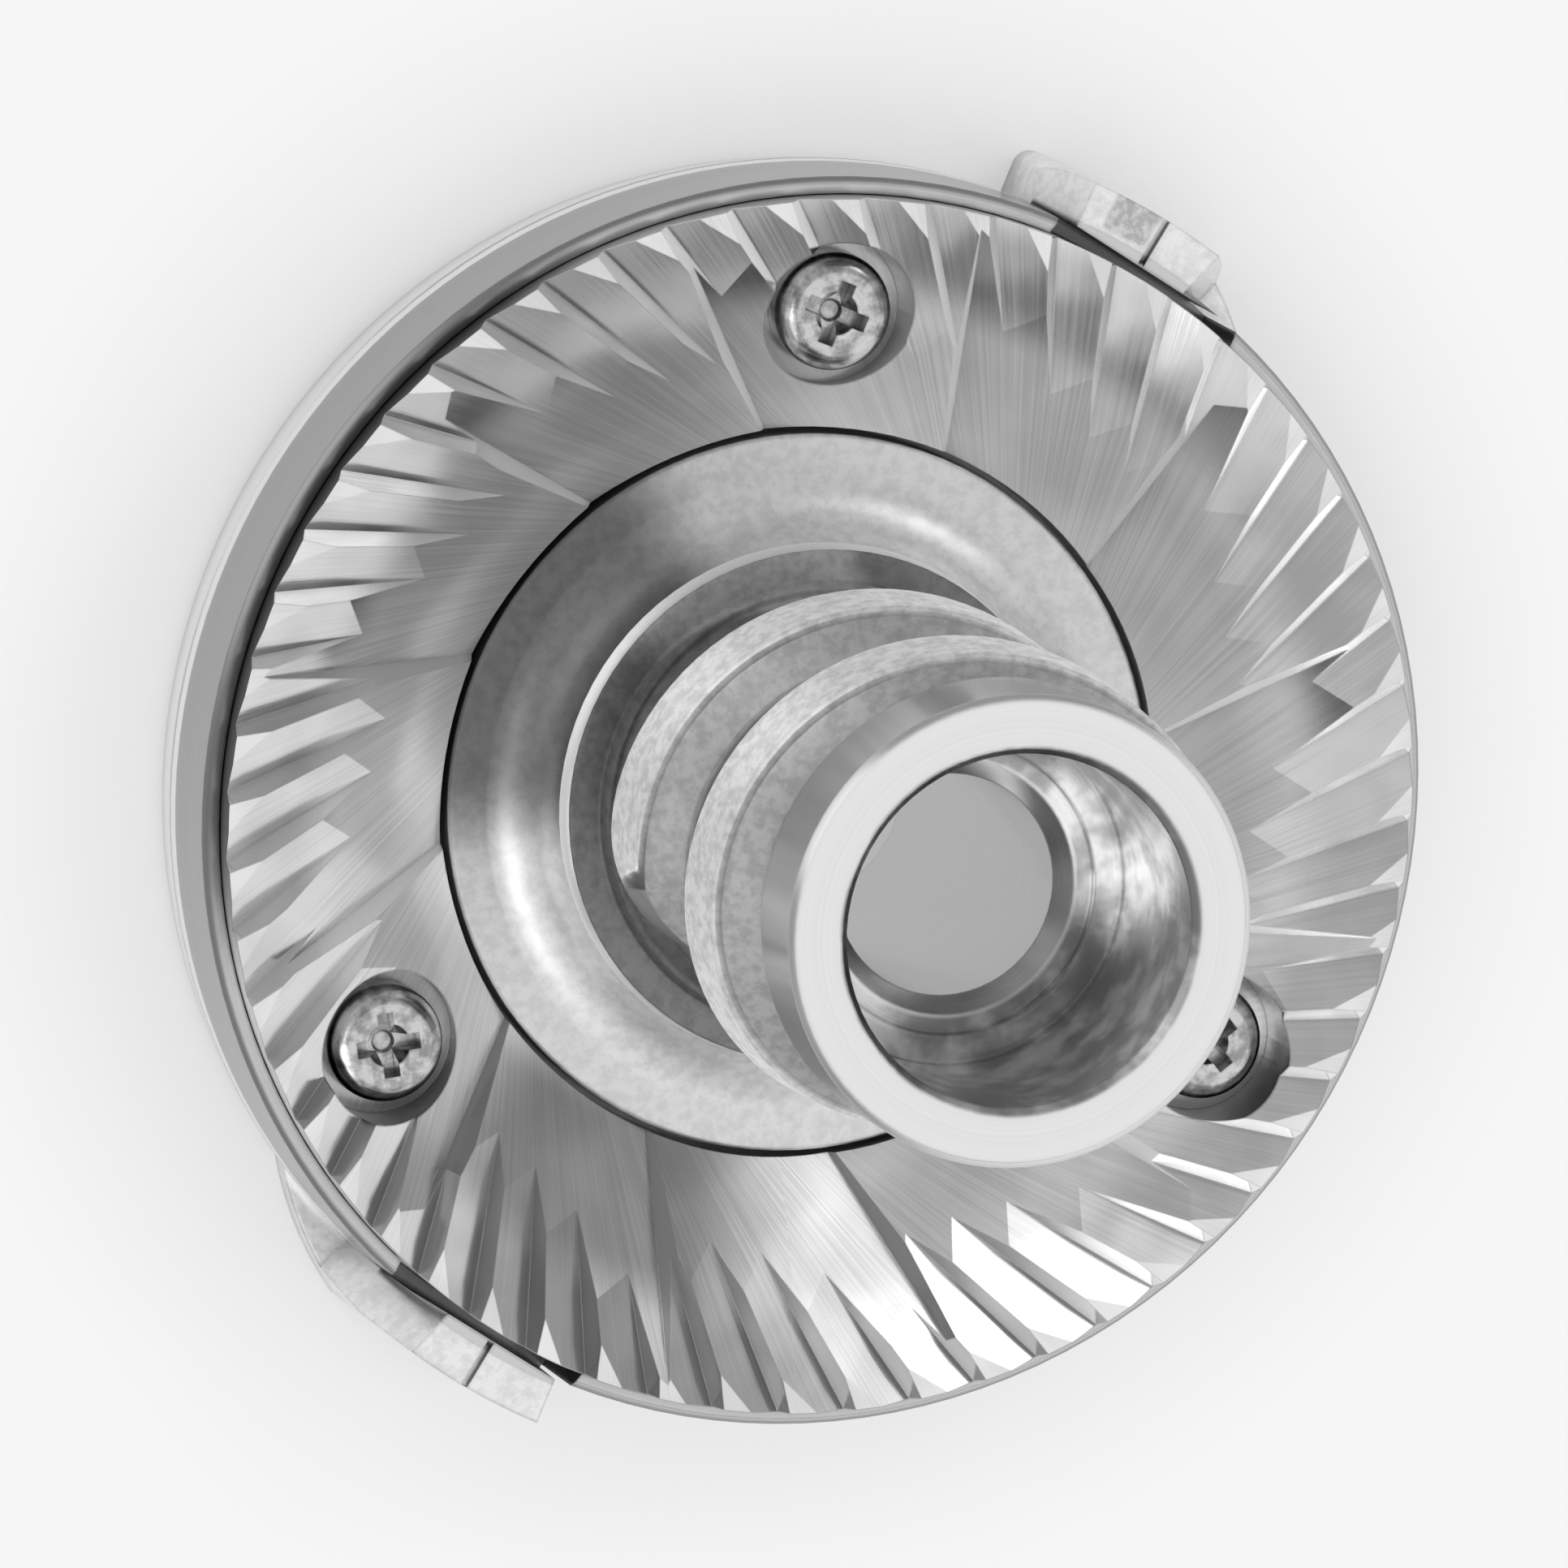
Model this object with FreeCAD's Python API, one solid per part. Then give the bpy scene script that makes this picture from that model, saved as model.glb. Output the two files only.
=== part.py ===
import FreeCAD
import Part
import math
import os

os.makedirs("parts", exist_ok=True)

Vector = FreeCAD.Vector
upAxis = Vector(0, 0, 1)
middle = Vector(0, 0, 0)

# The back face of the carrier is z = 0 and the hub points to +Z.
# Bearings are degrees clockwise from +Y, seen from the hub side.

# Burr ring
burrRadius = 32.0
burrBoreRadius = 19.3
burrThickness = 7.2
seatHeight = 4.8
toothPlane = seatHeight + burrThickness
burrEdgeBreak = 0.25
cutterMargin = 1.0

# Fine teeth: V grooves whose valley is a straight line that misses the axis by fineOffset.
fineCount = 56
fineOffset = 12.93
fineRimBearing = 1.28
fineRimDepth = 0.62
fineValleyFall = 0.169
fineFlankLean = 38.5
fineRampSlope = 0.507

# Coarse teeth: one plane each, falling toward the bore.
coarseCount = 12
coarseOffset = 9.0
coarseInnerStep = 0.7
coarseInnerRadius = burrBoreRadius + coarseInnerStep
coarseInnerBearing = 20.0
coarseRidgeDrop = 4.43
coarseRampFall = 0.568
coarseFallTurn = 9.15
coarseFlankLean = 38.0
coarseRampLength = 6.0

# Screws
screwCount = 3
screwRimDistance = 6.35
screwCircleRadius = burrRadius - screwRimDistance
screwFirstBearing = 0.0
screwShankRadius = 1.75
screwHeadRadius = 3.1
screwHeadHeight = 2.3
screwHeadRound = 0.95
screwLength = 7.0
screwTurn = 20.0
counterboreRadius = 3.95
counterboreDepth = 4.5
headSeatHeight = toothPlane - counterboreDepth
burrHoleClearance = 0.2
threadClearance = 0.05
recessWingLength = 3.4
recessWingWidth = 0.85
recessDepth = 1.5
recessWingDepth = 1.2
recessCoreFoot = 0.48
recessCoreMouth = 1.14
screwPointBreak = 0.35

# Carrier rim
pocketClearance = 0.06
rimWall = 0.84
rimRadius = burrRadius + pocketClearance + rimWall
lipDrop = 1.6
lipHeight = toothPlane - lipDrop
lipBreak = 0.3
wallLineHeight = 3.7
wallLineDepth = 0.22
wallLineWidth = 0.3
rearBandFall = 0.45
rearEdgeBreak = 0.4

# Flange in the bore of the burr
flangeGap = 0.35
flangeRadius = burrBoreRadius - flangeGap
flangeRise = 2.5
flangeHeight = seatHeight + flangeRise
flangeRootDepth = 1.0
flangeRoot = seatHeight - flangeRootDepth
flangeEdgeBreak = 0.15
hubFootRadius = 13.5
hubFootRise = 3.8
hubFootHeight = flangeHeight + hubFootRise
hubFootRound = 3.4
hubBeadRadius = 11.9
hubBeadStep = 0.15
hubBeadFoot = hubFootHeight + hubBeadStep
hubBeadLean = 0.3
hubBeadHeight = 0.75
hubBeadTop = 0.3
hubNeckRise = 2.3
hubNeckHeight = hubFootHeight + hubNeckRise

# Hub
hubHeight = 47.5
hubCoreRadius = 10.6
collarRadius = 12.2
collarLength = 5.2
collarHeight = hubHeight - collarLength
collarShoulderRadius = 11.75
collarShoulderDrop = 0.7
collarShoulderHeight = collarHeight - collarShoulderDrop
taperLength = 4.2
taperStartHeight = collarShoulderHeight - taperLength
collarBreak = 0.3
boreRadius = 9.1
boreDepth = 12.2
boreLeadIn = 0.35
shoulderRingRadius = 7.6
shoulderRingDepth = 0.5
shaftHoleRadius = 5.75
shaftHoleBreak = 0.9
springRecessRadius = 9.0
springRecessDepth = 6.5
springRecessBreak = 0.4

# Auger flight
flightPitch = 14.2
flightStartBearing = 236.0
flightEndBearing = 838.0
flightRefBearing = 302.0
flightRefHeight = 18.1
flightRootRadius = 9.8
flightCrestRadius = 13.1
flightUnderRise = 0.5
flightCrestHeight = 4.1
flightCrestLean = 0.2
flightCornerDepth = 0.6
flightCornerRise = 0.5
flightTopRise = 1.7
flightFadeIn = 40.0
flightFadeOut = 60.0
flightFadeDepth = 3.1
flightPathStep = 15.0

# Sweeping lugs on the rim
lugBearings = (0.0, 180.0)
lugReach = 2.45
lugRootSink = 0.5
lugRadius = rimRadius + lugReach
lugRootRadius = rimRadius - lugRootSink
lugStart = 20.6
lugFrontEnd = 35.2
lugOuterEnd = 38.5
lugShoulder = 44.1
lugShoulderReach = 1.4
lugShoulderRadius = rimRadius + lugShoulderReach
lugBlendEnd = 51.5
lugEndLean = 0.16
lugCornerRound = 0.95
lugSlopeEnd = 41.5
lugSlopeFoot = 1.6
lugBlendFoot = 1.2
lugCutDepth = 4.0
lugCutReach = 8.0
lugSlotStart = 19.6
lugSlotBend = 35.2
lugSlotEnd = 42.0
lugSlotTaper = 1.2
lugSlotStartReach = 1.05
lugSlotBendReach = 0.65
lugSlotEndReach = 1.1
lugLineBearing = 29.6
lugLineWidth = 0.35
lugLineDepth = 0.3

farOut = 60.0
quarterTurn = 90.0


def at(radius, bearing, z=0.0):
    a = math.radians(bearing)
    return Vector(radius * math.sin(a), radius * math.cos(a), z)


def turned(shape, bearing):
    copy = shape.copy()
    copy.rotate(middle, upAxis, -bearing)
    return copy


def revolved(points):
    wire = Part.makePolygon([Vector(r, 0, z) for r, z in points + points[:1]])
    return Part.Face(wire).revolve(middle, upAxis, 360)


def cylinder(radius, z0, z1, place=middle):
    return Part.makeCylinder(radius, z1 - z0, Vector(place.x, place.y, z0))


def above(point, normal):
    """A large block that fills the side of a plane its normal points to."""
    block = Part.makeBox(farOut, farOut, farOut, Vector(-farOut / 2, -farOut / 2, 0))
    block.Placement = FreeCAD.Placement(point, FreeCAD.Rotation(upAxis, normal))
    return block


def lineFrame(offset, bearing, radius):
    """Foot, outward direction and clockwise direction of a line that misses the axis."""
    turn = bearing - math.degrees(math.asin(offset / radius))
    clockwise = at(1.0, turn + quarterTurn)
    outward = at(1.0, turn)
    return clockwise * offset, outward, clockwise


def slopeNormal(outward, clockwise, alongSlope, acrossSlope):
    normal = upAxis - outward * alongSlope - clockwise * acrossSlope
    return normal.normalize()


def commonOf(shapes):
    result = shapes[0]
    for other in shapes[1:]:
        result = result.common(other)
    return result


def flankNormal(outward, clockwise, alongSlope, lean):
    steepness = 1.0 / math.tan(math.radians(lean))
    return slopeNormal(outward, clockwise, alongSlope, -steepness)


def fineCutter():
    foot, outward, clockwise = lineFrame(fineOffset, fineRimBearing, burrRadius)
    rimReach = math.sqrt(burrRadius ** 2 - fineOffset ** 2)
    innerReach = math.sqrt((burrBoreRadius + cutterMargin) ** 2 - fineOffset ** 2)
    valley = foot + outward * rimReach + upAxis * (toothPlane - fineRimDepth)
    ramp = above(valley, slopeNormal(outward, clockwise, fineValleyFall, fineRampSlope))
    flank = above(valley, flankNormal(outward, clockwise, fineValleyFall, fineFlankLean))
    length = above(foot + outward * innerReach, outward)
    return commonOf([ramp, flank, length])


def coarseCutter():
    nextBearing = coarseInnerBearing + 360.0 / coarseCount
    foot, outward, clockwise = lineFrame(coarseOffset, coarseInnerBearing, coarseInnerRadius)
    nextFoot, nextOutward, nextClockwise = lineFrame(coarseOffset, nextBearing, coarseInnerRadius)
    reach = math.sqrt(coarseInnerRadius ** 2 - coarseOffset ** 2)
    ridgeHeight = toothPlane - coarseRidgeDrop
    ridgePoint = foot + outward * reach + upAxis * ridgeHeight
    nextPoint = nextFoot + nextOutward * reach + upAxis * ridgeHeight
    rise = at(1.0, nextBearing - coarseFallTurn)
    ridgeFall = coarseRampFall * rise.dot(nextOutward)
    ramp = above(nextPoint, (upAxis - rise * coarseRampFall).normalize())
    flank = above(ridgePoint, flankNormal(outward, clockwise, ridgeFall, coarseFlankLean))
    side = above(nextPoint, nextClockwise * -1.0)
    length = above(rise * (burrBoreRadius - coarseRampLength), rise)
    return commonOf([ramp, flank, side, length])


def counterbore(bearing):
    place = at(screwCircleRadius, bearing)
    wide = cylinder(counterboreRadius, headSeatHeight, toothPlane + cutterMargin, place)
    hole = cylinder(screwShankRadius + burrHoleClearance, seatHeight - cutterMargin, toothPlane, place)
    return wide.fuse(hole)


def screwBearings():
    return [screwFirstBearing + 360.0 * i / screwCount for i in range(screwCount)]


def makeBurrRing():
    e = burrEdgeBreak
    ring = revolved([
        (burrBoreRadius, seatHeight), (burrRadius - e, seatHeight), (burrRadius, seatHeight + e),
        (burrRadius, toothPlane), (burrBoreRadius, toothPlane)])
    fine = fineCutter()
    coarse = coarseCutter()
    for i in range(coarseCount):
        ring = ring.cut(turned(coarse, i * 360.0 / coarseCount))
    for i in range(fineCount):
        ring = ring.cut(turned(fine, i * 360.0 / fineCount))
    for bearing in screwBearings():
        ring = ring.cut(counterbore(bearing))
    return ring


def rimBody():
    back = rimRadius - rearBandFall
    e = rearEdgeBreak
    pocket = burrRadius + pocketClearance
    half = wallLineWidth / 2
    return revolved([
        (shaftHoleRadius, 0.0), (back - e, 0.0), (back, e),
        (rimRadius, wallLineHeight - half), (rimRadius - wallLineDepth, wallLineHeight),
        (rimRadius, wallLineHeight + half), (rimRadius, lipHeight - lipBreak),
        (rimRadius - lipBreak, lipHeight), (pocket, lipHeight), (pocket, seatHeight),
        (shaftHoleRadius, seatHeight)])


def hubBody():
    """The flange, foot, core and collar as one turned profile."""
    curveStart = Vector(hubFootRadius + hubFootRound, 0, flangeHeight)
    curveEnd = Vector(hubFootRadius, 0, flangeHeight + hubFootRound)
    curveMiddle = Vector(
        curveStart.x - hubFootRound * math.sin(math.pi / 4), 0,
        curveEnd.z - hubFootRound * math.cos(math.pi / 4))
    beadTop = hubBeadFoot + hubBeadHeight
    outline = [
        (hubFootRadius, curveEnd.z), (hubFootRadius, hubFootHeight), (hubBeadRadius, hubBeadFoot),
        (hubBeadRadius - hubBeadLean, beadTop), (hubBeadRadius - hubBeadLean - hubBeadTop, beadTop),
        (hubCoreRadius, hubNeckHeight), (hubCoreRadius, taperStartHeight),
        (collarShoulderRadius, collarShoulderHeight), (collarRadius, collarHeight),
        (collarRadius, hubHeight - collarBreak), (collarRadius - collarBreak, hubHeight),
        (shaftHoleRadius, hubHeight), (shaftHoleRadius, flangeRoot), (flangeRadius, flangeRoot),
        (flangeRadius, flangeHeight - flangeEdgeBreak),
        (flangeRadius - flangeEdgeBreak, flangeHeight), (curveStart.x, flangeHeight)]
    corners = [Vector(r, 0, z) for r, z in outline]
    edges = [Part.makeLine(a, b) for a, b in zip(corners, corners[1:])]
    edges.append(Part.Arc(curveStart, curveMiddle, curveEnd).toBSpline().toShape())
    return Part.Face(Part.Wire(edges)).revolve(middle, upAxis, 360)


def boreCut():
    floor = hubHeight - boreDepth
    b = shaftHoleBreak
    recess = springRecessDepth
    return revolved([
        (0.0, hubHeight + cutterMargin),
        (boreRadius + boreLeadIn + cutterMargin, hubHeight + cutterMargin),
        (boreRadius, hubHeight - boreLeadIn), (boreRadius, floor),
        (shoulderRingRadius, floor), (shoulderRingRadius, floor - shoulderRingDepth),
        (shaftHoleRadius + b, floor - shoulderRingDepth),
        (shaftHoleRadius, floor - shoulderRingDepth - b),
        (shaftHoleRadius, recess), (springRecessRadius, recess),
        (springRecessRadius, springRecessBreak),
        (springRecessRadius + springRecessBreak + cutterMargin, -cutterMargin),
        (0.0, -cutterMargin)])


def flightHeight(bearing):
    return flightRefHeight + flightPitch * (bearing - flightRefBearing) / 360.0


def flightSink(bearing):
    """How far the flight is sunk into the core near its two ends."""
    entry = max(0.0, 1.0 - (bearing - flightStartBearing) / flightFadeIn)
    leaving = max(0.0, 1.0 - (flightEndBearing - bearing) / flightFadeOut)
    return flightFadeDepth * (entry ** 2 + leaving ** 2)


def makeFlight():
    count = int((flightEndBearing - flightStartBearing) / flightPathStep)
    bearings = [flightStartBearing + (flightEndBearing - flightStartBearing) * i / count
                for i in range(count + 1)]
    points = [at(flightRootRadius - flightSink(b), b, flightHeight(b)) for b in bearings]
    curve = Part.BSplineCurve()
    curve.interpolate(points)
    path = Part.Wire([curve.toShape()])
    first = points[0]
    heading = curve.tangent(curve.FirstParameter)[0]
    outward = upAxis.cross(heading).normalize()
    depth = flightCrestRadius - flightRootRadius
    crestTop = flightUnderRise + flightCrestHeight
    ledge = crestTop + flightCornerRise
    corners = [
        (0.0, 0.0), (depth, flightUnderRise), (depth - flightCrestLean, crestTop),
        (depth - flightCrestLean - flightCornerDepth, ledge), (0.0, ledge + flightTopRise)]
    places = [first + outward * r + upAxis * z for r, z in corners]
    section = Part.makePolygon(places + places[:1])
    sweep = Part.BRepOffsetAPI.MakePipeShell(path)
    sweep.setBiNormalMode(upAxis)
    sweep.add(section)
    sweep.build()
    sweep.makeSolid()
    return sweep.shape()


def lugOutline():
    """Plan of one lug with the curved run down to the rim."""
    start = at(lugRootRadius, lugStart)
    corner = at(lugRadius, lugStart)
    outerMiddle = at(lugRadius, (lugStart + lugOuterEnd) / 2)
    outerEnd = at(lugRadius, lugOuterEnd)
    blendEnd = at(rimRadius - rearBandFall, lugBlendEnd)
    rootEnd = at(lugRootRadius, lugBlendEnd)
    rootMiddle = at(lugRootRadius, (lugStart + lugBlendEnd) / 2)
    blend = Part.BSplineCurve()
    blend.interpolate([outerEnd, at(lugShoulderRadius, lugShoulder), blendEnd])
    return Part.Wire([
        Part.makeLine(start, corner), Part.Arc(corner, outerMiddle, outerEnd).toShape(),
        blend.toShape(), Part.makeLine(blendEnd, rootEnd),
        Part.Arc(rootEnd, rootMiddle, start).toShape()])


def lugSlope():
    """Cuts the run-out of the lug so that it falls to the back of the rim."""
    mid = (lugFrontEnd + lugBlendEnd) / 2
    away = at(1.0, mid)
    along = at(1.0, mid + quarterTurn)
    top = lipHeight + cutterMargin
    wayOut = lugBlendEnd + cutterMargin

    def spot(bearing, z):
        span = lugRadius * math.sin(math.radians(bearing - mid))
        return away * (rimRadius - lugCutDepth) + along * span + upAxis * z

    wire = Part.makePolygon([
        spot(lugFrontEnd, top), spot(lugFrontEnd, lipHeight), spot(lugSlopeEnd, lugSlopeFoot),
        spot(wayOut, lugBlendFoot), spot(wayOut, top), spot(lugFrontEnd, top)])
    return Part.Face(wire).extrude(away * lugCutReach)


def makeLug():
    body = Part.Face(lugOutline()).extrude(upAxis * lipHeight)
    cornerMiddle = at(lugRadius, lugStart, lipHeight / 2)
    upright = min(body.Edges, key=lambda edge: (edge.CenterOfMass - cornerMiddle).Length)
    body = body.makeFillet(lugCornerRound, [upright])
    counter = at(1.0, lugStart - quarterTurn)
    lean = above(at(lugRadius, lugStart, wallLineHeight), (counter + upAxis * lugEndLean).normalize())
    body = body.cut(lean)
    body = body.cut(lugSlope())
    lineStart = at(lugRootRadius, lugLineBearing, lipHeight - lugLineDepth)
    groove = Part.makeBox(lugLineWidth, lugCutDepth, lugLineDepth + cutterMargin)
    groove.translate(Vector(-lugLineWidth / 2, 0, 0))
    groove = turned(groove, lugLineBearing)
    groove.translate(lineStart)
    return body.cut(groove)


def lugSlot():
    inner = burrRadius - cutterMargin
    points = [
        at(inner, lugSlotStart), at(burrRadius + lugSlotStartReach, lugSlotStart + lugSlotTaper),
        at(burrRadius + lugSlotBendReach, lugSlotBend),
        at(burrRadius + lugSlotEndReach, lugSlotEnd - lugSlotTaper),
        at(inner, lugSlotEnd)]
    face = Part.Face(Part.makePolygon(points + points[:1]))
    face.translate(upAxis * seatHeight)
    return face.extrude(upAxis * lipHeight)


def makeCarrier():
    body = rimBody()
    for bearing in lugBearings:
        body = body.fuse(turned(makeLug(), bearing))
    for bearing in lugBearings:
        body = body.cut(turned(lugSlot(), bearing))
    body = body.fuse(hubBody())
    body = body.fuse(makeFlight())
    body = body.cut(boreCut())
    for bearing in screwBearings():
        place = at(screwCircleRadius, bearing)
        body = body.cut(cylinder(
            screwShankRadius + threadClearance, -cutterMargin, seatHeight + cutterMargin, place))
    return body


def screwBody():
    """Pan head and shank as one turned profile."""
    top = headSeatHeight + screwHeadHeight
    foot = headSeatHeight - screwLength
    side = top - screwHeadRound
    crown = screwHeadRadius - screwHeadRound
    lean = screwHeadRound * math.sin(math.pi / 4)
    dome = Part.Arc(
        Vector(screwHeadRadius, 0, side), Vector(crown + lean, 0, side + lean), Vector(crown, 0, top))
    tip = screwShankRadius - screwPointBreak
    corners = [
        Vector(crown, 0, top), Vector(0, 0, top), Vector(0, 0, foot), Vector(tip, 0, foot),
        Vector(screwShankRadius, 0, foot + screwPointBreak), Vector(screwShankRadius, 0, headSeatHeight),
        Vector(screwHeadRadius, 0, headSeatHeight), Vector(screwHeadRadius, 0, side)]
    edges = [Part.makeLine(a, b) for a, b in zip(corners, corners[1:])]
    edges.append(dome.toBSpline().toShape())
    return Part.Face(Part.Wire(edges)).revolve(middle, upAxis, 360)


def makeScrew(bearing):
    place = at(screwCircleRadius, bearing)
    top = headSeatHeight + screwHeadHeight
    screw = screwBody()
    half = recessWingLength / 2
    core = Part.makeCone(
        recessCoreFoot, recessCoreMouth, recessDepth, Vector(0, 0, top - recessDepth))
    screw = screw.cut(core)
    for turn in (0.0, quarterTurn):
        wing = Part.makeBox(
            recessWingLength, recessWingWidth, recessDepth,
            Vector(-half, -recessWingWidth / 2, top - recessWingDepth))
        screw = screw.cut(turned(wing, turn))
    screw = turned(screw, screwTurn + bearing)
    screw.translate(place)
    return screw


def save(shape, name):
    solids = shape.Solids
    print(name, "solids", len(solids), "valid", shape.isValid(), "volume", round(shape.Volume, 1))
    solids[0].exportStep("parts/" + name + ".step")


save(makeBurrRing(), "burr_ring")
save(makeCarrier(), "burr_carrier")
for number, bearing in enumerate(screwBearings(), 1):
    save(makeScrew(bearing), "screw_" + str(number))
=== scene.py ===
import math

import bpy
from mathutils import Matrix, Vector


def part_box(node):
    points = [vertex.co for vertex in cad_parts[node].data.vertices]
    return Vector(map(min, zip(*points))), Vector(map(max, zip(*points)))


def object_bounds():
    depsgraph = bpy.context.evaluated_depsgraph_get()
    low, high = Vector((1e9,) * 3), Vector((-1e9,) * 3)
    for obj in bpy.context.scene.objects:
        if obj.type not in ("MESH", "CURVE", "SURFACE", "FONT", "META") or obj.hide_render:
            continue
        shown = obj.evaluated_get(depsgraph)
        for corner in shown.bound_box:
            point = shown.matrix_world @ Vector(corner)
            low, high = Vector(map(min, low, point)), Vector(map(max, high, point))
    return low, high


print("frame: loading the packed part")
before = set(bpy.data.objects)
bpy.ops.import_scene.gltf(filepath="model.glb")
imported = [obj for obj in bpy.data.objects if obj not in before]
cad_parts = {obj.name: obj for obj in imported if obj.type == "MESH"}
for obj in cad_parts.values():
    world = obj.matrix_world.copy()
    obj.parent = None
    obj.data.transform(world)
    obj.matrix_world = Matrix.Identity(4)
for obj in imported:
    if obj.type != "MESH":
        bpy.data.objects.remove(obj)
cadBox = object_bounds()

mm = 0.001


# A shader socket that takes part in plain sums
class Wire:
    def __init__(self, graph, socket):
        self.graph = graph
        self.socket = socket

    def __add__(self, other):
        return self.graph.math("ADD", self, other)

    def __radd__(self, other):
        return self.graph.math("ADD", other, self)

    def __sub__(self, other):
        return self.graph.math("SUBTRACT", self, other)

    def __rsub__(self, other):
        return self.graph.math("SUBTRACT", other, self)

    def __mul__(self, other):
        return self.graph.math("MULTIPLY", self, other)

    def __rmul__(self, other):
        return self.graph.math("MULTIPLY", other, self)

    def __truediv__(self, other):
        return self.graph.math("DIVIDE", self, other)

    def __rtruediv__(self, other):
        return self.graph.math("DIVIDE", other, self)


# A node tree of one material or of the world
class Graph:
    def __init__(self, owner, outputKind="ShaderNodeOutputMaterial"):
        self.owner = owner
        owner.use_nodes = True
        self.tree = owner.node_tree
        self.tree.nodes.clear()
        self.output = self.tree.nodes.new(outputKind)

    def plug(self, value, socket):
        if isinstance(value, Wire):
            self.tree.links.new(value.socket, socket)
        else:
            socket.default_value = value

    def node(self, kind, settings=None, inputs=None, out=0):
        made = self.tree.nodes.new(kind)
        for key, value in (settings or {}).items():
            setattr(made, key, value)
        for key, value in (inputs or {}).items():
            self.plug(value, made.inputs[key])
        return Wire(self, made.outputs[out])

    def math(self, operation, first, second=None):
        inputs = {0: first} if second is None else {0: first, 1: second}
        return self.node("ShaderNodeMath", {"operation": operation}, inputs)

    def largest(self, first, *others):
        for other in others:
            first = self.math("MAXIMUM", first, other)
        return first

    # 0 below low, 1 above high
    def step(self, value, low, high):
        return self.node(
            "ShaderNodeMapRange", {"interpolation_type": "SMOOTHSTEP"},
            {"Value": value, "From Min": low, "From Max": high})

    # 1 between low and high, with a soft border
    def band(self, value, low, high, border):
        return self.step(value, low, low + border) * (1.0 - self.step(value, high - border, high))

    # 1 toward a bearing in degrees, 0 once the turn away from it passes the outer angle
    def toward(self, bearing, aim, inner, outer):
        share = self.math("COSINE", bearing - math.radians(aim))
        return self.step(share, math.cos(math.radians(outer)), math.cos(math.radians(inner)))

    def blend(self, value, other, share):
        return (1.0 - share) * value + share * other

    # A factor that takes off at most depth, and nothing where share is 1
    def fade(self, depth, share):
        return self.blend(1.0 - depth, 1.0, share)

    def noise(self, vector, scale, detail=3.0, roughness=0.55):
        return self.node(
            "ShaderNodeTexNoise", None,
            {"Vector": vector, "Scale": scale, "Detail": detail, "Roughness": roughness})

    def vector(self, x, y, z):
        return self.node("ShaderNodeCombineXYZ", None, {"X": x, "Y": y, "Z": z})

    def split(self, vector):
        parts = self.node("ShaderNodeSeparateXYZ", None, {0: vector})
        made = parts.socket.node
        return [Wire(self, made.outputs[i]) for i in range(3)]

    def place(self):
        spot = self.node("ShaderNodeTexCoord", out=3)
        return spot, self.split(spot)

    def length(self, x, y):
        return self.math("SQRT", x * x + y * y)

    def grey(self, dark, light, share):
        return self.node(
            "ShaderNodeMix", {"data_type": "RGBA"},
            {0: share, 6: (dark, dark, dark, 1.0), 7: (light, light, light, 1.0)}, out=2)

    def lightPath(self, name):
        paths = self.node("ShaderNodeLightPath")
        return Wire(self, paths.socket.node.outputs[name])

    # How open a spot is: 1 in the open, less in a groove
    def openness(self, reach, samples=3):
        return self.node("ShaderNodeAmbientOcclusion", {"samples": samples}, {"Distance": reach}, out=1)

    def bevel(self, edgeRadius):
        return self.node("ShaderNodeBevel", {"samples": 2}, {"Radius": edgeRadius})

    def bump(self, height, strength, depth, normal):
        return self.node(
            "ShaderNodeBump", None,
            {"Strength": strength, "Distance": depth, "Height": height, "Normal": normal})

    def metal(self, tone, rough, normal, metallic=1.0):
        return self.node("ShaderNodeBsdfPrincipled", None, {
            "Base Color": tone, "Metallic": metallic, "Roughness": rough, "Normal": normal})

    def finish(self, shader):
        self.tree.links.new(shader.socket, self.output.inputs["Surface"])
        return self.owner


def newMaterial(name):
    return Graph(bpy.data.materials.new(name))


def dress(nodeName, material):
    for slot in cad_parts[nodeName].material_slots:
        slot.material = material


screwNames = ("screw_1", "screw_2", "screw_3")


def screwCentre(name):
    low, high = (Vector(corner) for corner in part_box(name))
    return (low + high) / 2


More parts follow.
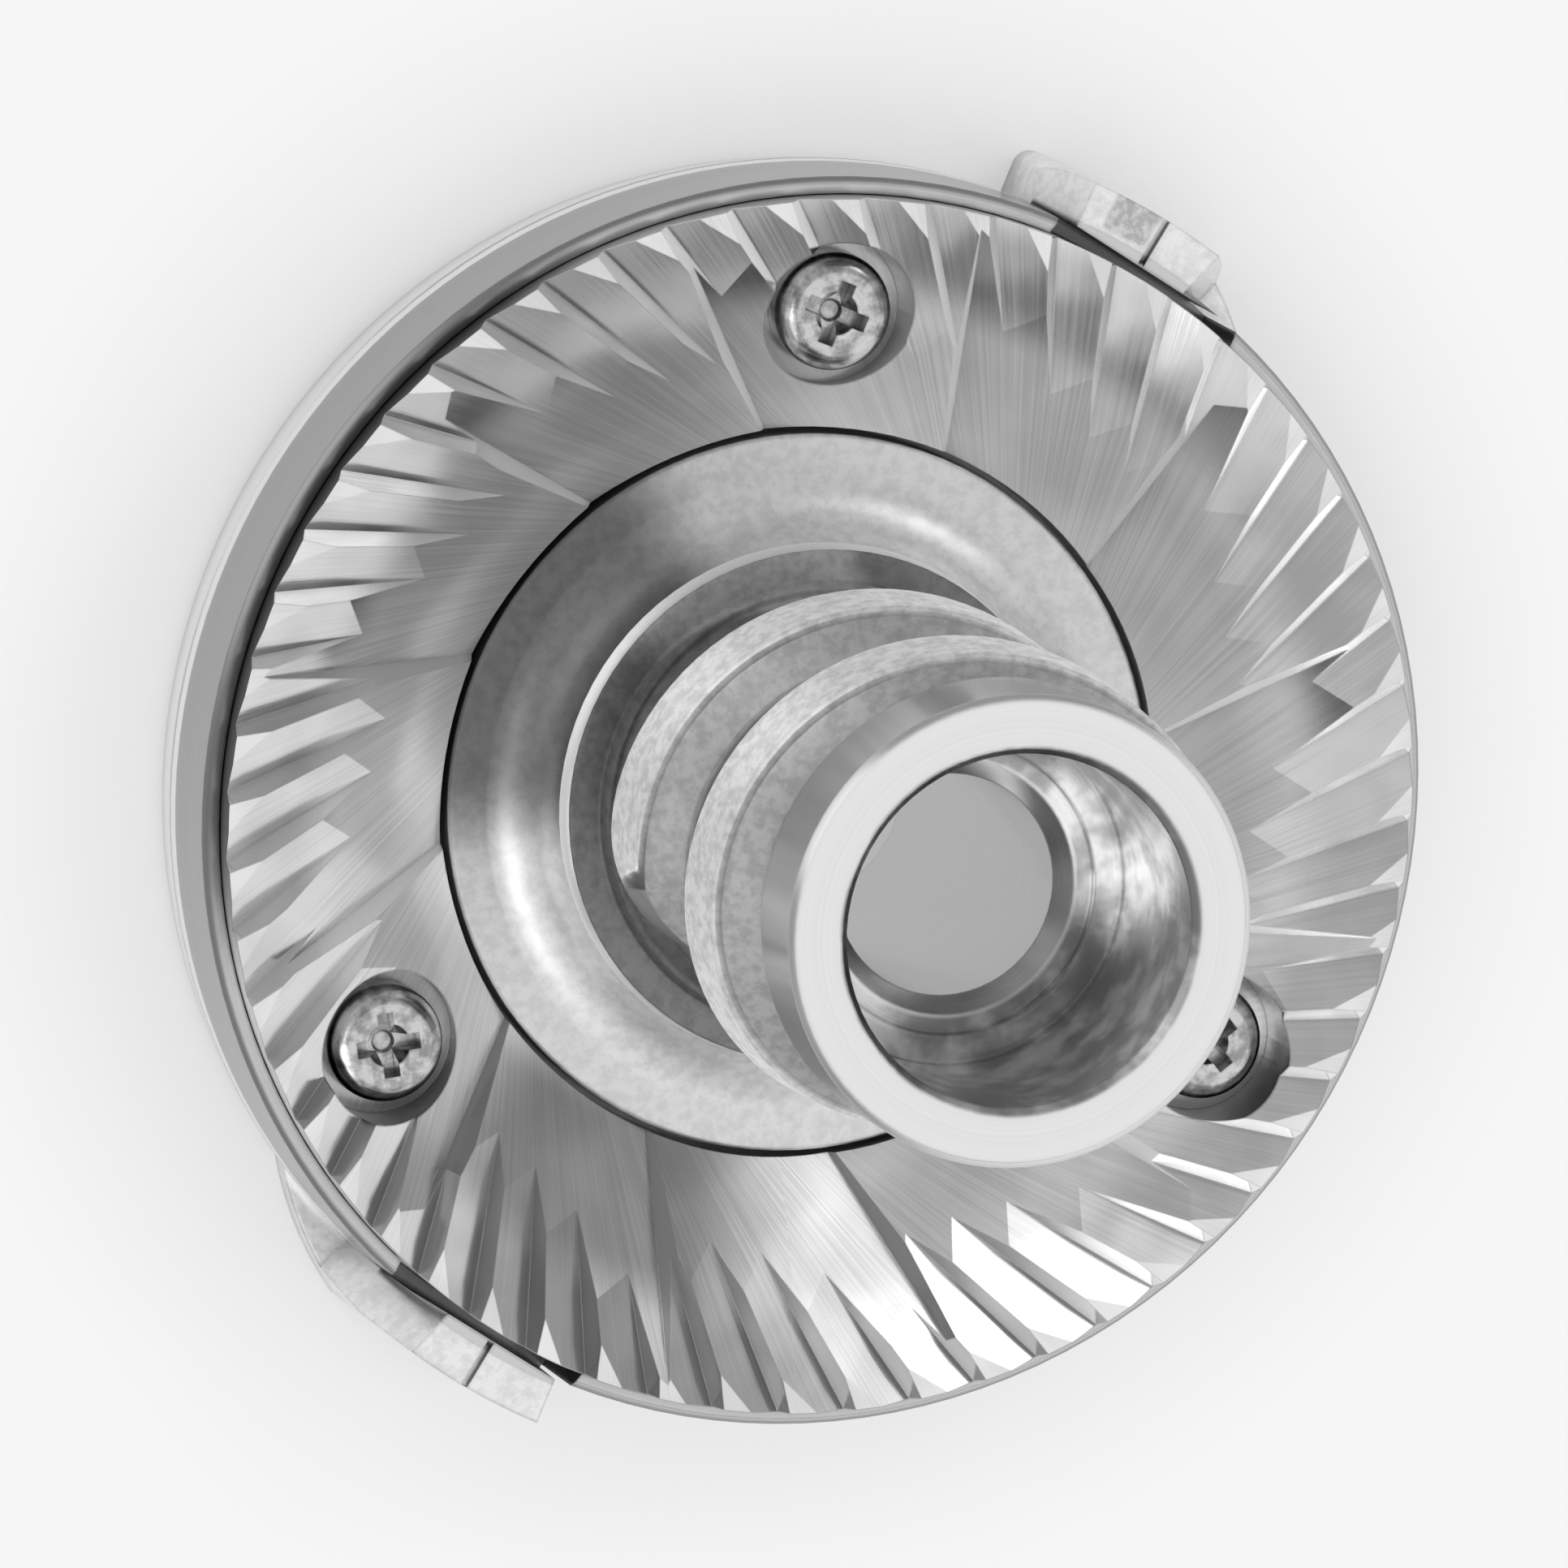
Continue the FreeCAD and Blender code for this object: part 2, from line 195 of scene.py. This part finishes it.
# Toothed ring. A sector is a bearing in degrees, the turn from it with full effect and the turn
# with none.
ringLook = {
    "name": "groundToothSteel",
    "lineOffset": 12.9 * mm,   # how far the grinding lines miss the axis
    "linesAcross": 150.0,      # lines in a radian
    "linesAlong": 60.0,        # breaks in a metre of line
    "cloudScale": 170.0,
    "lineShare": 0.3,          # of lines against clouds
    "contrast": (0.36, 0.62),
    "dark": 0.70,
    "light": 0.84,
    "innerTone": 0.98,         # the coarse faces toward the bore
    "innerStreakShare": 0.6,
    "innerStreakDepth": 0.20,
    # painted shade: the coarse faces are darker in two sectors of bearing
    "innerPaintedShade": 0.45,
    "innerPaintedShadeSector": (208.0, 10.0, 24.0),
    "innerPaintedHalfShade": 0.55,
    "innerPaintedHalfShadeSector": (318.0, 16.0, 46.0),
    "innerWithin": 25.5 * mm,
    "outerFrom": 28.5 * mm,
    "innerMetallic": 0.36,
    "flankTone": 0.86,         # the steep side of each tooth
    # painted shade: the steep sides are darker in two sectors of bearing
    "flankPaintedShade": 0.28,
    "flankPaintedShadeSector": (195.0, 42.0, 56.0),
    "flankPaintedHalfShade": 0.56,
    "flankPaintedHalfShadeSector": (292.0, 14.0, 24.0),
    "flankSteep": (0.69, 0.79),
    "pocketShade": 0.72,       # the pockets of the screw heads
    "pocketRadius": 4.0 * mm,
    "pocketBorder": 0.05 * mm,
    "grooveShade": 0.55,       # share of the tone left in a closed groove
    "grooveReach": 1.2 * mm,
    "grooveOpen": (0.15, 0.75),
    "sideLight": 0.62,         # unground rim of the ring
    # painted shade: the rim is darker in one sector of bearing
    "sidePaintedShade": 0.12,
    "sidePaintedShadeSector": (295.0, 24.0, 44.0),
    "sideBeyond": 31.95 * mm,
    "sideBorder": 0.02 * mm,
    "sideRough": 0.2,
    "rough": 0.13,
    "roughSpread": 0.10,
    "dub": 0.35,               # how strongly the faces bulge
    "dubScale": 220.0,
    "dubDepth": 0.16 * mm,
    "bump": 0.20,
    "bumpDepth": 0.02 * mm,
    "edgeRadius": 0.08 * mm,
}


# 1 within the pocket round the axis of a screw
def inPocket(g, look, x, y, screwName):
    centre = screwCentre(screwName)
    away = g.length(x - centre.x, y - centre.y)
    return 1.0 - g.step(away, look["pocketRadius"], look["pocketRadius"] + look["pocketBorder"])


def makeGroundSteel(look):
    g = newMaterial(look["name"])
    spot, (x, y, z) = g.place()
    radius = g.length(x, y)
    bearing = g.math("ARCTAN2", x, y)
    turn = bearing - g.math("ARCSINE", look["lineOffset"] / radius)
    lines = g.noise(g.vector(turn * look["linesAcross"], radius * look["linesAlong"], 0.0), 1.0)
    cloud = g.noise(spot, look["cloudScale"], 2.0)
    share = g.step(g.blend(cloud, lines, look["lineShare"]), *look["contrast"])
    tone = g.blend(look["dark"], look["light"], share)

    inner = 1.0 - g.step(radius, look["innerWithin"], look["outerFrom"])
    streaks = g.step(g.blend(cloud, lines, look["innerStreakShare"]), *look["contrast"])
    # Painted shade on the coarse faces in two sectors of bearing
    paintedHalfShade = g.toward(bearing, *look["innerPaintedHalfShadeSector"])
    paintedShade = g.toward(bearing, *look["innerPaintedShadeSector"])
    innerTone = g.blend(look["innerTone"], look["innerPaintedHalfShade"], paintedHalfShade)
    innerTone = g.blend(innerTone, look["innerPaintedShade"], paintedShade) * g.fade(look["innerStreakDepth"], streaks)
    tone = g.blend(tone, innerTone, inner)

    rounded = g.bevel(look["edgeRadius"])
    facing = g.split(rounded)[2]
    flank = 1.0 - g.step(facing, *look["flankSteep"])
    # Painted shade on the steep sides in two sectors of bearing
    paintedHalfShade = g.toward(bearing, *look["flankPaintedHalfShadeSector"])
    paintedShade = g.toward(bearing, *look["flankPaintedShadeSector"])
    flankTone = g.blend(g.blend(look["flankTone"], look["flankPaintedHalfShade"], paintedHalfShade), look["flankPaintedShade"], paintedShade)
    openAir = g.step(g.openness(look["grooveReach"]), *look["grooveOpen"])
    tone = g.blend(tone, flankTone, flank) * g.fade(1.0 - look["grooveShade"], openAir)
    for screwName in screwNames:
        tone = tone * g.blend(1.0, look["pocketShade"], inPocket(g, look, x, y, screwName))

    side = g.step(radius, look["sideBeyond"], look["sideBeyond"] + look["sideBorder"])
    # Painted shade on the unground rim in one sector of bearing
    paintedShade = g.toward(bearing, *look["sidePaintedShadeSector"])
    tone = g.blend(tone, g.blend(look["sideLight"], look["sidePaintedShade"], paintedShade), side)

    rough = look["rough"] + lines * look["roughSpread"] + side * look["sideRough"]
    bulge = g.noise(spot, look["dubScale"], 1.0, 0.4)
    curved = g.bump(bulge, look["dub"], look["dubDepth"], rounded)
    normal = g.bump(lines, look["bump"], look["bumpDepth"], curved)
    metallic = 1.0 - inner * (1.0 - look["innerMetallic"])
    return g.finish(g.metal(g.vector(tone, tone, tone), rough, normal, metallic))


print("ring: ground steel")
dress("burr_ring", makeGroundSteel(ringLook))


# Carrier
carrierLook = {
    "name": "castAndTurnedSteel",
    "castDark": 0.68,
    "castLight": 0.86,
    "castMetallic": 0.72,      # the cast skin is duller than bare metal
    "castGrainShare": 0.5,     # of grain against mottling
    "castContrast": (0.38, 0.60),
    "grainScale": 2100.0,
    "mottleScale": 1100.0,
    "castRough": 0.26,
    "castRoughSpread": 0.22,
    "flangeLight": 0.88,
    "flangePaintedShade": 0.27,
    "flangePaintedShadeAim": math.radians(298.0),  # the flange is painted dark toward this bearing and away from it, a painted reflection of its turned face
    "flangePaintedShadeFan": (0.74, 0.92),
    "flangeMottle": 0.15,
    "footTop": 11.02 * mm,
    "footBorder": 0.05 * mm,
    "footEdge": 9.7 * mm,      # painted highlight on the rounded edge of the foot
    "footEdgeBorder": 0.04 * mm,
    "hubWithin": 14.0 * mm,
    "hubMottle": 0.25,
    # painted shade deep between the turns of the flight, painted highlight on the crest
    "corePaintedShade": 0.26,
    "slopePaintedHalfShade": 0.60,
    "slopeLength": 2.0 * mm,
    "slopeFade": 0.6 * mm,
    "paintedHighlightTone": 0.98,
    "crestFrom": 12.40 * mm,
    "crestAboveFoot": 3.0 * mm,
    "crestLean": 0.7,          # the crest is rounded toward the open end
    "crestTop": 4.6 * mm,
    "flightPitch": 14.2 * mm,
    "flightBearing": math.radians(302.0),
    "flightHeight": 18.1 * mm,
    "collarFrom": 42.0 * mm,
    "collarTone": 0.72,
    "endFrom": 47.3 * mm,
    "endTone": 0.92,
    "boreWithin": 9.4 * mm,
    "boreDark": 0.40,
    "boreLight": 0.80,
    "boreClouds": 300.0,
    "boreContrast": (0.40, 0.64),
    # painted light on the wall of the small bore
    "smallBorePaintedLight": 0.97,
    "boreStepWithin": 6.6 * mm,
    "boreOpen": 0.7,           # share of the groove shade that the bore is spared
    "wallBeyond": 31.2 * mm,
    "wallTone": 0.38,
    "wallFootTone": 0.92,
    "wallLine": 4.6 * mm,
    "wallTurned": 0.8,
    "lipFrom": 10.2 * mm,
    "lipWithin": 33.0 * mm,
    "lipLight": 0.85,
    # painted shade: the lip is darker in one sector of bearing
    "lipPaintedShade": 0.26,
    "lipPaintedShadeSector": (295.0, 24.0, 44.0),
    "lugTone": 0.95,
    "lugMottle": 0.15,
    "brokenFrom": math.radians(24.4),   # rough patch on the front of one lug
    "brokenTo": math.radians(29.3),
    "brokenBorder": 0.01,
    "brokenBeyond": 33.3 * mm,
    "brokenTone": 0.62,
    "brokenContrast": (0.35, 0.60),
    "brokenRough": 0.15,
    "turnedSpread": 0.08,
    "turnedRough": 0.16,
    "turnedRoughSpread": 0.10,
    "turnedBumpShare": 0.12,
    "toolLines": 7000.0,
    "grooveShade": 0.30,       # share of the tone left in a closed groove
    "grooveReach": 3.0 * mm,
    "grooveOpen": (0.20, 0.75),
    "bump": 0.30,
    "bumpGrainShare": 0.6,
    "bumpDepth": 0.045 * mm,
    "border": 0.3 * mm,
    "edgeRadius": 0.25 * mm,
}


def makeCarrierSteel(look):
    g = newMaterial(look["name"])
    spot, (x, y, z) = g.place()
    radius = g.length(x, y)
    bearing = g.math("ARCTAN2", x, y)
    border = look["border"]

    def past(value, limit):
        return g.step(value, limit, limit + border)

    # Where each region is
    collar = past(z, look["collarFrom"])
    end = past(z, look["endFrom"])
    bore = 1.0 - past(radius, look["boreWithin"])
    wall = past(radius, look["wallBeyond"])
    lug = past(radius, look["lipWithin"])
    lip = past(z, look["lipFrom"]) * wall * (1.0 - lug)
    withinHub = 1.0 - past(radius, look["hubWithin"])
    hub = withinHub * (1.0 - collar) * g.step(z, look["footTop"], look["footTop"] + look["footBorder"])
    flange = (1.0 - hub) * (1.0 - wall) * (1.0 - collar)
    footEdge = g.band(z, look["footEdge"], look["footTop"] + look["footBorder"], look["footEdgeBorder"])
    footEdge = footEdge * withinHub * past(radius, look["boreWithin"])
    broken = g.band(bearing, look["brokenFrom"], look["brokenTo"], look["brokenBorder"])
    broken = broken * past(radius, look["brokenBeyond"])
    turned = g.largest(collar, bore, wall * look["wallTurned"])

    # The flight, by the height above its own lower edge
    turns = (z - look["flightHeight"]) / look["flightPitch"]
    turns = turns - (bearing - look["flightBearing"]) / (2.0 * math.pi)
    climb = g.math("FRACT", turns) * look["flightPitch"]
    slopeEnd = look["crestTop"] + look["slopeLength"]
    slope = past(climb, look["crestTop"]) * hub
    slope = slope * (1.0 - g.step(climb, slopeEnd, slopeEnd + look["slopeFade"]))
    crest = past(radius, look["crestFrom"]) * hub * past(z, look["footTop"] + look["crestAboveFoot"])

    # Patterns
    grain = g.noise(spot, look["grainScale"], 4.0, 0.65)
    mottle = g.noise(spot, look["mottleScale"], 3.0)
    rings = g.noise(g.vector(radius * look["toolLines"], z * look["toolLines"], 0.0), 1.0, 2.0)
    castShare = g.step(g.blend(mottle, grain, look["castGrainShare"]), *look["castContrast"])

    # Tone
    tone = g.blend(look["castDark"], look["castLight"], castShare)
    # Painted reflection on the flange: two opposite fans painted dark
    paintedShadeFan = g.math("ABSOLUTE", g.math("COSINE", bearing - look["flangePaintedShadeAim"]))
    flangeTone = g.blend(look["flangeLight"], look["flangePaintedShade"], g.step(paintedShadeFan, *look["flangePaintedShadeFan"]))
    tone = g.blend(tone, flangeTone * g.fade(look["flangeMottle"], castShare), flange)
    # Painted highlight along the rounded top edge of the foot
    tone = g.blend(tone, look["paintedHighlightTone"], footEdge)
    # Painted shade deep between the turns of the flight, painted highlight on its crest
    hubTone = g.blend(look["corePaintedShade"], look["slopePaintedHalfShade"], slope)
    hubTone = g.blend(hubTone, look["paintedHighlightTone"], crest)
    tone = g.blend(tone, hubTone * g.fade(look["hubMottle"], castShare), hub)
    tone = g.blend(tone, look["lugTone"] * g.fade(look["lugMottle"], castShare), lug)
    tone = g.blend(tone, look["collarTone"], collar)
    tone = g.blend(tone, look["endTone"], end)
    wallTone = g.blend(look["wallFootTone"], look["wallTone"], past(z, look["wallLine"]))
    tone = g.blend(tone, wallTone, wall * (1.0 - lug))
    # Painted shade on the lip in one sector of bearing
    paintedShade = g.toward(bearing, *look["lipPaintedShadeSector"])
    tone = g.blend(tone, g.blend(look["lipLight"], look["lipPaintedShade"], paintedShade), lip)
    boreCloud = g.step(g.noise(spot, look["boreClouds"], 3.0), *look["boreContrast"])
    boreTone = g.blend(look["boreDark"], look["boreLight"], boreCloud)
    # Painted light on the wall of the small bore
    boreTone = g.blend(look["smallBorePaintedLight"], boreTone, past(radius, look["boreStepWithin"]))
    tone = g.blend(tone, boreTone, bore)
    tone = tone - rings * turned * look["turnedSpread"]
    openAir = g.step(g.openness(look["grooveReach"]), *look["grooveOpen"])
    tone = tone * g.fade(1.0 - look["grooveShade"], g.largest(openAir, bore * look["boreOpen"]))
    scuffed = broken * g.step(grain, *look["brokenContrast"])
    tone = tone * (1.0 - scuffed * (1.0 - look["brokenTone"]))

    # Gloss
    castRough = look["castRough"] + grain * look["castRoughSpread"]
    turnedRough = look["turnedRough"] + rings * look["turnedRoughSpread"]
    rough = g.blend(castRough, turnedRough, turned) + broken * look["brokenRough"]
    metallic = g.blend(look["castMetallic"], 1.0, turned)

    # Relief
    smooth = turned * (1.0 - broken)
    height = g.blend(mottle, grain, look["bumpGrainShare"]) * (1.0 - smooth)
    height = height + rings * smooth * look["turnedBumpShare"]
    footRise = g.largest(z - look["footEdge"], 0.0) * footEdge
    rounding = g.math("MINIMUM", climb, look["crestTop"]) * crest + footRise
    rounding = rounding * -look["crestLean"]
    sloped = g.bump(rounding, 1.0, 1.0, g.bevel(look["edgeRadius"]))
    normal = g.bump(height, look["bump"], look["bumpDepth"], sloped)
    return g.finish(g.metal(g.vector(tone, tone, tone), rough, normal, metallic))


print("carrier: cast and turned steel")
dress("burr_carrier", makeCarrierSteel(carrierLook))


# Screws
screwLook = {
    "name": "brightScrewSteel",
    "dark": 0.20,
    "light": 0.78,
    "rough": 0.12,
    "roughSpread": 0.16,
    "ringLines": 4200.0,
    "scuffScale": 1100.0,
    "scuffShare": 0.6,         # of scuffs against turning lines
    "scuffContrast": (0.35, 0.62),
    "bump": 0.12,
    "bumpDepth": 0.02 * mm,
    # painted shade in the cross recess, by how open it is
    "recessShadeReach": 0.8 * mm,
    "recessShadeOpen": (0.25, 0.80),
    "edgeRadius": 0.10 * mm,
}


def makeScrewSteel(look, name, centre):
    g = newMaterial(look["name"] + "_" + name)
    spot, (x, y, z) = g.place()
    radius = g.length(x - centre.x, y - centre.y)
    rings = g.noise(g.vector(radius * look["ringLines"], z * look["ringLines"], 0.0), 1.0, 2.0)
    scuffs = g.noise(spot, look["scuffScale"], 3.0)
    # The cross recess is painted dark where it is closed: painted shade
    openAir = g.step(g.openness(look["recessShadeReach"]), *look["recessShadeOpen"])
    share = openAir * g.blend(rings, g.step(scuffs, *look["scuffContrast"]), look["scuffShare"])
    rough = look["rough"] + scuffs * look["roughSpread"]
    normal = g.bump(rings, look["bump"], look["bumpDepth"], g.bevel(look["edgeRadius"]))
    return g.finish(g.metal(g.grey(look["dark"], look["light"], share), rough, normal))


print("screws: bright steel")
for screwName in screwNames:
    dress(screwName, makeScrewSteel(screwLook, screwName, screwCentre(screwName)))


# Floor
floorLook = {
    "half": 1.5,
    "dark": 0.85,
    "light": 0.87,
    "speckScale": 40.0,
    "drop": 0.02 * mm,
    "rough": 0.6,
    "shine": 1.0,         # white that the camera and the metal see
    "shineOpen": 0.80,    # how much of the floor's look it makes out in the open
    "shineClosed": 0.42,  # and close to the part, where less of the white leaves a painted shadow
    "shadowReach": 14.0 * mm,
    "shadowOpen": (0.45, 1.0),
}


def makeFloor(look):
    half = look["half"]
    mesh = bpy.data.meshes.new("floor")
    level = cadBox[0][2] - look["drop"]
    corners = [(-half, -half, level), (half, -half, level), (half, half, level), (-half, half, level)]
    mesh.from_pydata(corners, [], [(0, 1, 2, 3)])
    floor = bpy.data.objects.new("floor", mesh)
    bpy.context.collection.objects.link(floor)
    g = newMaterial("paleFloor")
    speck = g.noise(g.place()[0], look["speckScale"], 2.0)
    paper = g.node("ShaderNodeBsdfPrincipled", None, {
        "Base Color": g.grey(look["dark"], look["light"], speck), "Roughness": look["rough"]})
    shine = look["shine"]
    white = g.node("ShaderNodeEmission", None, {"Color": (shine, shine, shine, 1.0), "Strength": 1.0})
    kinds = ("Is Camera Ray", "Is Glossy Ray", "Is Transmission Ray")
    seen = g.largest(*(g.lightPath(kind) for kind in kinds))
    # Less white close to the part: a painted shadow added to the paper's own shadow
    openAir = g.step(g.openness(look["shadowReach"], 2), *look["shadowOpen"])
    share = g.blend(look["shineClosed"], look["shineOpen"], openAir)
    mesh.materials.append(g.finish(g.node(
        "ShaderNodeMixShader", None, {0: seen * share, 1: paper, 2: white})))


print("stage: floor")
makeFloor(floorLook)


# Camera
view = {
    "toEye": Vector((-0.283, 0.167, 0.944)),
    "up": Vector((0.0, 0.985, -0.174)),
    "distance": 1.3,
    "target": Vector((0.0, 0.0, 12.0 * mm)),   # middle of the tooth plane
    "targetRight": 2.1 * mm,                   # where that middle stands in the picture
    "targetDown": 1.3 * mm,
    "width": 81.3 * mm,
    "sensor": 36.0,
    "near": 0.01,
    "far": 20.0,
}


def makeCamera(look):
    back = look["toEye"].normalized()
    right = look["up"].cross(back).normalized()
    up = back.cross(right)
    aim = look["target"] - right * look["targetRight"] + up * look["targetDown"]
    data = bpy.data.cameras.new("camera")
    data.sensor_width = look["sensor"]
    data.lens = look["sensor"] * look["distance"] / look["width"]
    data.clip_start = look["near"]
    data.clip_end = look["far"]
    camera = bpy.data.objects.new("camera", data)
    turn = Matrix((right, up, back)).transposed().to_4x4()
    camera.matrix_world = Matrix.Translation(aim + back * look["distance"]) @ turn
    bpy.context.collection.objects.link(camera)
    bpy.context.scene.camera = camera


print("stage: camera")
makeCamera(view)


# Bearings are degrees clockwise from +Y, seen from above, and rises are above the floor.
def direction(bearing, rise):
    a = math.radians(bearing)
    e = math.radians(rise)
    return Vector((math.sin(a) * math.cos(e), math.cos(a) * math.cos(e), math.sin(e)))


# Lamps
lamps = [
    {"name": "keyLamp", "bearing": 47.0, "rise": 36.0, "away": 1.0, "size": 0.30, "power": 0.42},
    {"name": "sideLamp", "bearing": 222.0, "rise": 66.0, "away": 1.0, "size": 0.50, "power": 1.2},
]


def makeLamp(spec):
    data = bpy.data.lights.new(spec["name"], "AREA")
    data.size = spec["size"]
    data.energy = spec["power"]
    lamp = bpy.data.objects.new(spec["name"], data)
    away = direction(spec["bearing"], spec["rise"]) * spec["away"]
    lamp.matrix_world = Matrix.Translation(away) @ away.to_track_quat("Z", "Y").to_matrix().to_4x4()
    bpy.context.collection.objects.link(lamp)


print("stage: lamps")
for spec in lamps:
    makeLamp(spec)


# World: an even studio tent with a few lighter and darker cards
worldLook = {
    "levels": [(0.0, 0.34), (0.25, 0.42), (0.60, 0.46)],   # height of a direction, tone
    "patches": [
        {"bearing": 120.0, "rise": 62.0, "inner": 11.0, "outer": 20.0, "gain": 0.52},
        {"bearing": 47.0, "rise": 36.0, "inner": 10.0, "outer": 18.0, "gain": 0.60},
        {"bearing": 83.0, "rise": 23.0, "inner": 4.0, "outer": 13.0, "gain": -0.12},
        {"bearing": 128.0, "rise": 16.0, "inner": 26.0, "outer": 38.0, "gain": 0.40},
        {"bearing": 314.0, "rise": 53.0, "inner": 3.0, "outer": 8.0, "gain": 0.30},
        {"bearing": 228.0, "rise": 45.0, "inner": 16.0, "outer": 34.0, "gain": 0.42},
        {"bearing": 300.0, "rise": 22.0, "inner": 14.0, "outer": 28.0, "gain": 0.70},
    ],
}


def makeWorld(look):
    world = bpy.data.worlds.new("studio")
    g = Graph(world, "ShaderNodeOutputWorld")
    ray = g.node("ShaderNodeTexCoord", out=0)
    height = g.split(ray)[2]
    levels = look["levels"]
    tone = levels[0][1]
    for (lowHeight, lowTone), (nextHeight, nextTone) in zip(levels, levels[1:]):
        tone = tone + g.step(height, lowHeight, nextHeight) * (nextTone - lowTone)
    for patch in look["patches"]:
        aim = direction(patch["bearing"], patch["rise"])
        near = g.node("ShaderNodeVectorMath", {"operation": "DOT_PRODUCT"}, {0: ray, 1: aim}, out=1)
        outer = math.cos(math.radians(patch["outer"]))
        inner = math.cos(math.radians(patch["inner"]))
        tone = tone + g.step(near, outer, inner) * patch["gain"]
    light = g.node("ShaderNodeBackground", None, {"Color": g.vector(tone, tone, tone)})
    bpy.context.scene.world = g.finish(light)


print("stage: world")
makeWorld(worldLook)
bpy.context.scene.view_settings.view_transform = "Standard"

print("scene: done")
